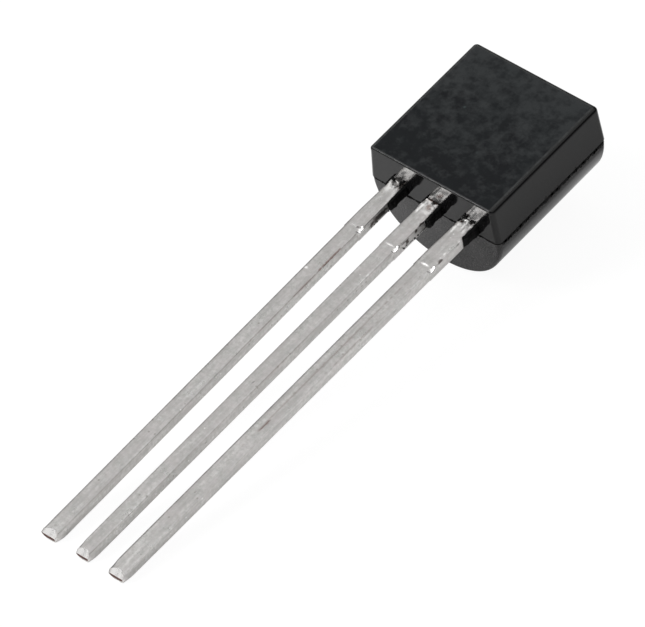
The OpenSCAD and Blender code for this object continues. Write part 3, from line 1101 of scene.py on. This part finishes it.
def resin_tree():
    """The tree, and the identifiers of its sockets by their labels."""
    tree = bpy.data.node_groups.new("resin along a line", "GeometryNodeTree")
    sockets = {}

    def socket(label, kind, way="INPUT"):
        made = tree.interface.new_socket(label, in_out=way, socket_type=kind)
        sockets[label] = made.identifier

    def step(kind, inputs=None, **settings):
        """Adds one node and gives its first output."""
        return add(tree, kind, inputs, **settings).outputs[0]

    def any_vector(low, high):
        """Another vector for each point, between the low one and the high one."""
        inputs = {0: low, 1: high, "Seed": given["Seed"]}
        return step("FunctionNodeRandomValue", inputs, data_type="FLOAT_VECTOR")

    socket("Line", "NodeSocketGeometry")
    for label in RESIN_SETTINGS:
        socket(label, "NodeSocketInt" if label == "Seed" else "NodeSocketFloat")
    socket("Resin", "NodeSocketMaterial")
    socket("Flash", "NodeSocketGeometry", way="OUTPUT")
    given = tree.nodes.new("NodeGroupInput").outputs
    result = tree.nodes.new("NodeGroupOutput").inputs

    # The bead: a thin round wire along the line, thick and thin by turns
    line = step("GeometryNodeMeshToCurve", {"Mesh": given["Line"]})
    fine = step("GeometryNodeResampleCurve", {"Curve": line, "Length": 0.012}, mode="LENGTH")
    place = step("GeometryNodeInputPosition")
    shift = step("ShaderNodeCombineXYZ", {"X": given["Seed"], "Y": given["Seed"]})
    shifted = vector_step(tree, "ADD", place, shift)
    ragged = noise_on(tree, shifted, 8.0, 4.0, 0.75)["Fac"]
    wander = ranged(tree, ragged, 0.38, 0.62, -1.0, 1.0)
    swell = {0: wander, 1: given["Bead wander"], 2: 1.0}
    swell = step("ShaderNodeMath", swell, operation="MULTIPLY_ADD")
    thick = worked(tree, "MULTIPLY", swell, given["Bead radius"])
    ring = step("GeometryNodeCurvePrimitiveCircle", {"Resolution": 8, "Radius": 1.0})
    wire = {"Curve": fine, "Profile Curve": ring, "Scale": thick, "Fill Caps": True}
    bead = step("GeometryNodeCurveToMesh", wire)

    # The crumbs: little balls at some of the places along the line, each scaled and turned
    spacing = {"Curve": line, "Length": given["Crumb spacing"]}
    coarse = step("GeometryNodeResampleCurve", spacing, mode="LENGTH")
    chance = {"Probability": given["Crumb share"], "Seed": given["Seed"]}
    chosen = add(tree, "FunctionNodeRandomValue", chance, data_type="BOOLEAN").outputs[3]
    size = any_vector((0.45, 0.45, 0.45), (1.3, 1.3, 1.0))
    turn = any_vector((0.0, 0.0, 0.0), (6.28, 6.28, 6.28))
    jitter = any_vector((-1.0, -1.0, -1.0), (1.0, 1.0, 1.0))
    crumb = {
        "Points": coarse,
        "Selection": chosen,
        "Instance": step("GeometryNodeMeshIcoSphere", {"Radius": 1.0, "Subdivisions": 2}),
        "Rotation": turn,
        "Scale": vector_step(tree, "SCALE", size, given["Crumb size"]),
    }
    dropped = step("GeometryNodeInstanceOnPoints", crumb)
    spread = vector_step(tree, "SCALE", jitter, given["Scatter"])
    offset = {"Instances": dropped, "Translation": spread, "Local Space": False}
    moved = step("GeometryNodeTranslateInstances", offset)
    crumbs = step("GeometryNodeRealizeInstances", {"Geometry": moved})

    # Both together: crumpled, and kept between the body's sides
    both = add(tree, "GeometryNodeJoinGeometry")
    for part in (bead, crumbs):
        tree.links.new(part, both.inputs[0])
    rough = noise_on(tree, shifted, 28.0, 2.0)["Color"]
    centred = vector_step(tree, "SUBTRACT", rough, (0.5, 0.5, 0.5))
    amount = worked(tree, "MULTIPLY", given["Bead radius"], 1.6)
    push = vector_step(tree, "SCALE", centred, amount)
    crumpled = step("GeometryNodeSetPosition", {"Geometry": both.outputs[0], "Offset": push})
    low = vector_step(tree, "MINIMUM", place, (SIDE_LIMIT, 99.0, 99.0))
    kept = vector_step(tree, "MAXIMUM", low, (-SIDE_LIMIT, -99.0, -99.0))
    inside = step("GeometryNodeSetPosition", {"Geometry": crumpled, "Position": kept})
    smooth = step("GeometryNodeSetShadeSmooth", {"Geometry": inside})
    finish = {"Geometry": smooth, "Material": given["Resin"]}
    tree.links.new(step("GeometryNodeSetMaterial", finish), result["Flash"])
    return tree, sockets


RESIN_TREE, RESIN_SOCKETS = resin_tree()
print("nodes that lay the resin:", len(RESIN_TREE.nodes))


def resin_on(lines, name):
    """Runs the resin tree on polylines given in package millimetres."""
    shape = bmesh.new()
    for points in lines:
        verts = [shape.verts.new(point) for point in points]
        for first, second in zip(verts, verts[1:]):
            shape.edges.new((first, second))
    rough = workbench_object(shape, name + "_line", [])
    nodes = rough.modifiers.new("resin", "NODES")
    nodes.node_group = RESIN_TREE
    nodes[RESIN_SOCKETS["Resin"]] = TORN
    for label, value in zip(RESIN_SETTINGS, RESIN_RUNS[name]):
        nodes[RESIN_SOCKETS[label]] = value
    finished_piece(rough, name)


# %% [markdown]
# ## Where the resin runs
#
# Along the sides and the top end the bead sits in the groove of the seam, and it is coarse
# and patchy. At the lead end it is only a thin dark line between the leads.

# %% Pieces: flash along the seam
SEAM_INSET = 0.05
CORNER_INSET = 0.15
SEAM_Z = -0.065
END_SEAM_Y = 0.014
END_SEAM_Z = -0.03


def seam_corner_points(side, end):
    """The seam round one corner of the body, from its side to its end face."""
    centre_x = side * (BODY_W / 2 - EDGE_R)
    centre_y = BODY_H / 2 + end * (BODY_H / 2 - EDGE_R)
    points = [(side * (BODY_W / 2 - SEAM_INSET), centre_y - end * 0.1, SEAM_Z)]
    middle = Vector((0, 0))
    corner = arc_points(middle, EDGE_R - CORNER_INSET, 0, math.pi / 2, CORNER_STEPS)
    for point, way in corner:
        points.append((centre_x + side * point.x, centre_y + end * point.y, SEAM_Z))
    return points


right_side = seam_corner_points(1, -1)[::-1] + seam_corner_points(1, 1)
left_side = seam_corner_points(-1, 1)[::-1] + seam_corner_points(-1, -1)
resin_on([right_side + left_side], "seam_flash")
exits = [x for x, *rest in LEADS.values()]
starts = [-BODY_W / 2 + EDGE_R] + [x + 0.3 for x in exits]
stops = [x - 0.3 for x in exits] + [BODY_W / 2 - EDGE_R]
between = [[(x, END_SEAM_Y, END_SEAM_Z) for x in ends] for ends in zip(starts, stops)]
resin_on(between, "lead_end_flash")

# %% [markdown]
# ## Webs beside the leads
#
# The mould leaves a slot beside each lead, and the resin fills it to a little web as thick as
# the lead. It snaps off unevenly: one ends square, one in a round lobe, one in steps. Each web
# is a small loft: its reach is given at a few heights, and noise roughens it.

# %% Piece: webs of flash beside the leads
WEB_ROOT = 0.05
WEB_STEPS = 34
WEB_SIDES = 16
# Reach from the lead's side at each height below the body, for each lead's right side
RIGHT_WEBS = {
    "emitter": [
        (0, 0.1), (0.1, 0.09), (0.3, 0.075), (0.6, 0.085), (0.72, 0.07), (0.75, 0.03)
    ],
    "base": [
        (0, 0.1), (0.12, 0.115), (0.3, 0.08), (0.45, 0.1), (0.56, 0.11), (0.62, 0.09), (0.66, 0.03)
    ],
    "collector": [
        (0, 0.1), (0.15, 0.12), (0.28, 0.085), (0.42, 0.095), (0.55, 0.06), (0.66, 0.02)
    ],
}
LEFT_WEB = [(0, 0.03), (0.12, 0.03), (0.22, 0.02), (0.26, 0.008)]
# How square a web's section is across and out: 1 is round, and less is squarer
SQUARE_X = 0.45
SQUARE_Z = 0.35
WEB_ROUGHNESS = 0.014


def boxy(value, power):
    """Pushes a value between -1 and 1 outwards, which makes a box of a circle."""
    return math.copysign(abs(value) ** power, value)


def web_ring(shape, lead, side, y, reaches, seed):
    """One section of a web: a rounded box from inside the lead out to the web's reach."""
    below = max(0.0, -y)
    length = reaches[-1][0]
    reach = read_off(reaches, below) * (1 + 0.25 * hump(below * 9, seed * 5.0, 0))
    rounding = 1 - math.sqrt(max(0.0, 1 - max(0.0, (below - length + 0.1) / 0.1) ** 2))
    low = 0.012 + 0.02 * hump(below * 7, seed * 3.0, 4) + 0.12 * rounding
    high = LEAD_T - 0.004 + 0.016 * hump(below * 8, seed * 2.0, 9) - 0.1 * rounding
    inner = SHOULDER_W / 2 - 0.05
    outer = SHOULDER_W / 2 + max(0.004, reach)
    ring = []
    for i in range(WEB_SIDES):
        t = 2 * math.pi * i / WEB_SIDES
        beside = (inner + outer) / 2 + boxy(math.cos(t), SQUARE_X) * (outer - inner) / 2
        z = (low + high) / 2 + boxy(math.sin(t), SQUARE_Z) * (high - low) / 2
        rough = hump(beside * 14, y * 14, z * 14 + seed) * WEB_ROUGHNESS
        ring.append(shape.verts.new((centre_at(*lead, y) + side * (beside + rough), y, z)))
    return ring


def add_web(shape, lead, side, reaches, seed):
    """One web: side is 1 on a lead's right and -1 on its left."""
    reach_y = WEB_ROOT + reaches[-1][0]
    heights = [WEB_ROOT - reach_y * step / WEB_STEPS for step in range(WEB_STEPS + 1)]
    skinned(shape, [web_ring(shape, lead, side, y, reaches, seed) for y in heights])


def webs_shape():
    shape = bmesh.new()
    for name, (x, tip_x, seed, *rest) in LEADS.items():
        add_web(shape, (x, tip_x), 1, RIGHT_WEBS[name], seed)
        add_web(shape, (x, tip_x), -1, LEFT_WEB, seed + 10)
    return shape


webs = workbench_object(webs_shape(), "webs", [TORN])
finished_piece(webs, "lead_flash", sharp_from=50)

# %% [markdown]
# ## Crumbs at the exits
#
# Where a lead leaves the body, a ragged line of broken resin lies across its front, and a few
# crumbs stick to its side further down.

# %% Pieces: crumbs at the exits
# Ragged lines over each lead's front, as (beside the centre line, along, out)
EXIT_LINES = {
    "emitter": [
        [(-0.25, -0.01, 0.372), (-0.16, -0.01, 0.40), (-0.1, 0.0, 0.41)],
        [(0.1, -0.01, 0.4), (0.18, -0.01, 0.44), (0.26, -0.01, 0.52)],
        [(0.12, -0.03, 0.372), (0.2, -0.13, 0.368)],
    ],
    "base": [[(-0.24, -0.01, 0.375), (-0.2, 0.0, 0.40)], [(0.18, 0.0, 0.375), (0.25, 0.0, 0.40)]],
    "collector": [
        [(-0.25, -0.17, 0.366), (-0.2, -0.1, 0.375), (-0.16, -0.01, 0.4), (-0.04, -0.01, 0.5)],
        [(0.08, -0.01, 0.4), (0.16, -0.01, 0.46), (0.24, -0.01, 0.46)],
    ],
}
# Thin lines along the exits, as the places beside the centre line where each runs from and to
EXIT_GAPS = {
    "emitter": [(-0.25, -0.1), (0.08, 0.25)],
    "base": [(-0.25, 0.25)],
    "collector": [(-0.25, -0.07), (0.07, 0.25)],
}
LINE_Z = LEAD_T + 0.01
thick_lines = []
thin_lines = []
for name, (x, *rest) in LEADS.items():
    for points in EXIT_LINES[name]:
        thick_lines.append([(x + beside, y, z) for beside, y, z in points])
    for first, last in EXIT_GAPS[name]:
        thin_lines.append([(x + first, 0.0, LINE_Z), (x + last, 0.0, LINE_Z)])
resin_on(thick_lines, "exit_crumbs")
resin_on(thin_lines, "exit_line")
side_lines = []
for name, length, z in (("emitter", 1.6, 0.05), ("base", 1.6, 0.08)):
    x = LEADS[name][0] + SHOULDER_W / 2
    start_y = -RIGHT_WEBS[name][-1][0]
    side_lines.append([(x, start_y, z), (x - 0.004, -length, z + 0.02)])
resin_on(side_lines, "side_crumbs")

# %% [markdown]
# ## The chip and its wires
#
# They are cast into the resin and never seen, but the part wouldn't work without them, and
# anyone who takes the model apart finds them. Their solids stay as they came and only get their
# surfaces: polished silicon with the lines of the saw, and drawn gold.

# %% The chip and the wires
SILICON = plain_finish(
    "silicon",
    streaks,
    {"Lines_per_mm": 60.0, "Breaks_per_mm": 4.0},
    [(0.085, 0.095, 0.115), (0.13, 0.14, 0.17)],
    (0.12, 0.22),
    Metallic=0.6,
    IOR=3.4,
)
GOLD = plain_finish(
    "gold wire",
    grain,
    {"Grains_per_mm": 90.0, "Clouds_per_mm": 20.0},
    [(0.78, 0.55, 0.19), (0.88, 0.65, 0.26)],
    (0.2, 0.3),
    Metallic=1.0,
)
SURFACES = {"silicon_die": SILICON, "emitter_bond_wire": GOLD, "base_bond_wire": GOLD}
for node, material in SURFACES.items():
    solid = bpy.data.objects[node]
    solid.data.materials.clear()
    solid.data.materials.append(material)
    print(node, "is now", material.name)

# %% [markdown]
# ## Light, floor and camera
#
# A glossy black body shows mostly what it reflects, and so does tin. So the room is as
# important as the materials. It is dim except for a broad pale patch of ceiling that fades out
# slowly. There are four lamps: one overhead, a softbox high in front, a small bright one in
# front that the bevels, the lips and the rounded edges mirror, and a faint broad one low in
# front. The camera itself sees plain white round the part. It is far away with a long lens,
# which keeps the leads nearly parallel.

# %% Room and lamps
CEILING_WAY = (-0.35, -0.15, 0.92)
# The patch fades out between these cosines of the angle from its middle
CEILING_EDGE = (0.45, 0.8)
CEILING_LIGHT = 0.62
ROOM_LIGHT = 0.08
# Direction, distance and width in metres, and brightness of each lamp
LAMPS = {
    "overhead lamp": ((0.5, 0.3, 0.81), 0.6, 0.45, 0.85),
    "front softbox": ((-0.485, -0.22, 0.85), 0.6, 0.34, 0.9),
    "front lamp": ((-0.485, -0.606, 0.63), 0.5, 0.22, 12.5),
    "low front lamp": ((-0.485, -0.82, 0.28), 0.6, 0.4, 0.49),
}


def make_room():
    room = bpy.data.worlds.new("studio")
    room.use_nodes = True
    tree = room.node_tree
    way = add(tree, "ShaderNodeTexCoord").outputs["Generated"]
    patch = Vector(CEILING_WAY).normalized()
    toward = add(tree, "ShaderNodeVectorMath", {0: way, 1: patch}, operation="DOT_PRODUCT")
    ends = (*CEILING_EDGE, ROOM_LIGHT, CEILING_LIGHT)
    spread = ranged(tree, toward.outputs["Value"], *ends, interpolation_type="SMOOTHSTEP")
    path = add(tree, "ShaderNodeLightPath").outputs
    seen = blended(tree, path["Is Camera Ray"], spread, 1.0)
    tree.links.new(seen, tree.nodes["Background"].inputs["Color"])
    bpy.context.scene.world = room


def soft_lamp(name, direction, distance, size, brightness):
    """A square lamp that faces the part; brightness is that of its surface, where 1 is white."""
    lamp = bpy.data.lights.new(name, "AREA")
    lamp.shape = "SQUARE"
    lamp.size = size
    lamp.energy = brightness * math.pi * size * size
    made = new_object(name, lamp)
    way = Vector(direction).normalized()
    made.location = way * distance
    made.rotation_mode = "QUATERNION"
    made.rotation_quaternion = way.to_track_quat("Z", "Y")


make_room()
for name, settings in LAMPS.items():
    soft_lamp(name, *settings)
print("lamps:", ", ".join(LAMPS))

# %% [markdown]
# ## The floor
#
# The floor is plain white card. The camera sees it as lit evenly from within, with a share of
# matt surface that keeps the soft shadow under the part. Everything that the part reflects
# sees ordinary matt card. Shiny surfaces see a weak gleam on it too: faint in front of the
# part, stronger behind it, and gone a little further to the right. It shows in the body's
# glossy sides.

# %% Floor
FLOOR_HALF = 1.5
FLOOR_GAP = 0.00002
FRONT_GLEAM = 0.12
NEAR_GLEAM = 0.3
# Between which places the gleam in front gives way to the one behind, and that one fades out
BEHIND = (4 * MM, 7 * MM)
BESIDE = (2.9 * MM, 3.8 * MM)


def white_card():
    material, tree, shader = new_material("white card")
    tree.nodes.remove(shader)
    surface = tree.nodes["Material Output"].inputs["Surface"]
    path = add(tree, "ShaderNodeLightPath").outputs
    matt = add(tree, "ShaderNodeBsdfDiffuse", {"Color": (0.8, 0.8, 0.8, 1)}).outputs[0]
    here = add(tree, "ShaderNodeTexCoord").outputs["Object"]
    parts = add(tree, "ShaderNodeSeparateXYZ", {"Vector": here}).outputs
    behind = ranged(tree, parts["Y"], *BEHIND)
    beside = ranged(tree, parts["X"], *BESIDE)
    beside = ranged(tree, beside, 0, 1, NEAR_GLEAM, 0.0)
    share = blended(tree, behind, FRONT_GLEAM, beside)
    gleam = worked(tree, "MULTIPLY", path["Is Glossy Ray"], share)
    mirrored = add(tree, "ShaderNodeEmission", {"Strength": gleam}).outputs[0]
    reflected = add(tree, "ShaderNodeAddShader", {0: matt, 1: mirrored}).outputs[0]
    shaded = add(tree, "ShaderNodeBsdfDiffuse", {"Color": (0.1, 0.1, 0.1, 1)}).outputs[0]
    glow = add(tree, "ShaderNodeEmission", {"Strength": 0.94}).outputs[0]
    lit = add(tree, "ShaderNodeAddShader", {0: shaded, 1: glow}).outputs[0]
    mixed = add(tree, "ShaderNodeMixShader", {0: path["Is Camera Ray"], 1: reflected, 2: lit})
    tree.links.new(mixed.outputs[0], surface)
    return material


floor_mesh = bpy.data.meshes.new("floor")
corners = [(x * FLOOR_HALF, y * FLOOR_HALF) for x, y in ((-1, -1), (1, -1), (1, 1), (-1, 1))]
floor_mesh.from_pydata([(x, y, -FLOOR_GAP) for x, y in corners], [], [(0, 1, 2, 3)])
floor_mesh.materials.append(white_card())
floor = new_object("floor", floor_mesh)
print("the floor is", 2 * FLOOR_HALF, "m wide")

# %% [markdown]
# ## The camera
#
# It is placed by where it looks, from which side and height, and how far away it is, and it
# is rolled a little, so the leads run down to the lower left corner.

# %% Camera
AIM = (-0.6482, 0.8464, 0.8607)
AZIMUTH = 41.675
ELEVATION = 43.116
ROLL = -1.787
DISTANCE = 200.0
LENS = 408.28


def place_camera():
    camera = bpy.data.cameras.new("camera")
    camera.sensor_width = 36.0
    camera.lens = LENS
    camera.clip_start = 0.01
    camera.clip_end = 10.0
    made = new_object("camera", camera)
    a, e, r = (math.radians(x) for x in (AZIMUTH, ELEVATION, ROLL))
    back = Vector((math.sin(a) * math.cos(e), -math.cos(a) * math.cos(e), math.sin(e)))
    level = Vector((math.cos(a), math.sin(a), 0))
    up = back.cross(level)
    right = level * math.cos(r) + up * math.sin(r)
    up = back.cross(right)
    turn = Matrix((right, up, back)).transposed()
    place = Vector(AIM) * MM + back * DISTANCE * MM
    made.matrix_world = Matrix.Translation(place) @ turn.to_4x4()
    bpy.context.scene.camera = made
    return made


camera = place_camera()
bpy.context.scene.view_settings.view_transform = "Standard"
print("camera stands", round(camera.location.length / MM), "mm away")
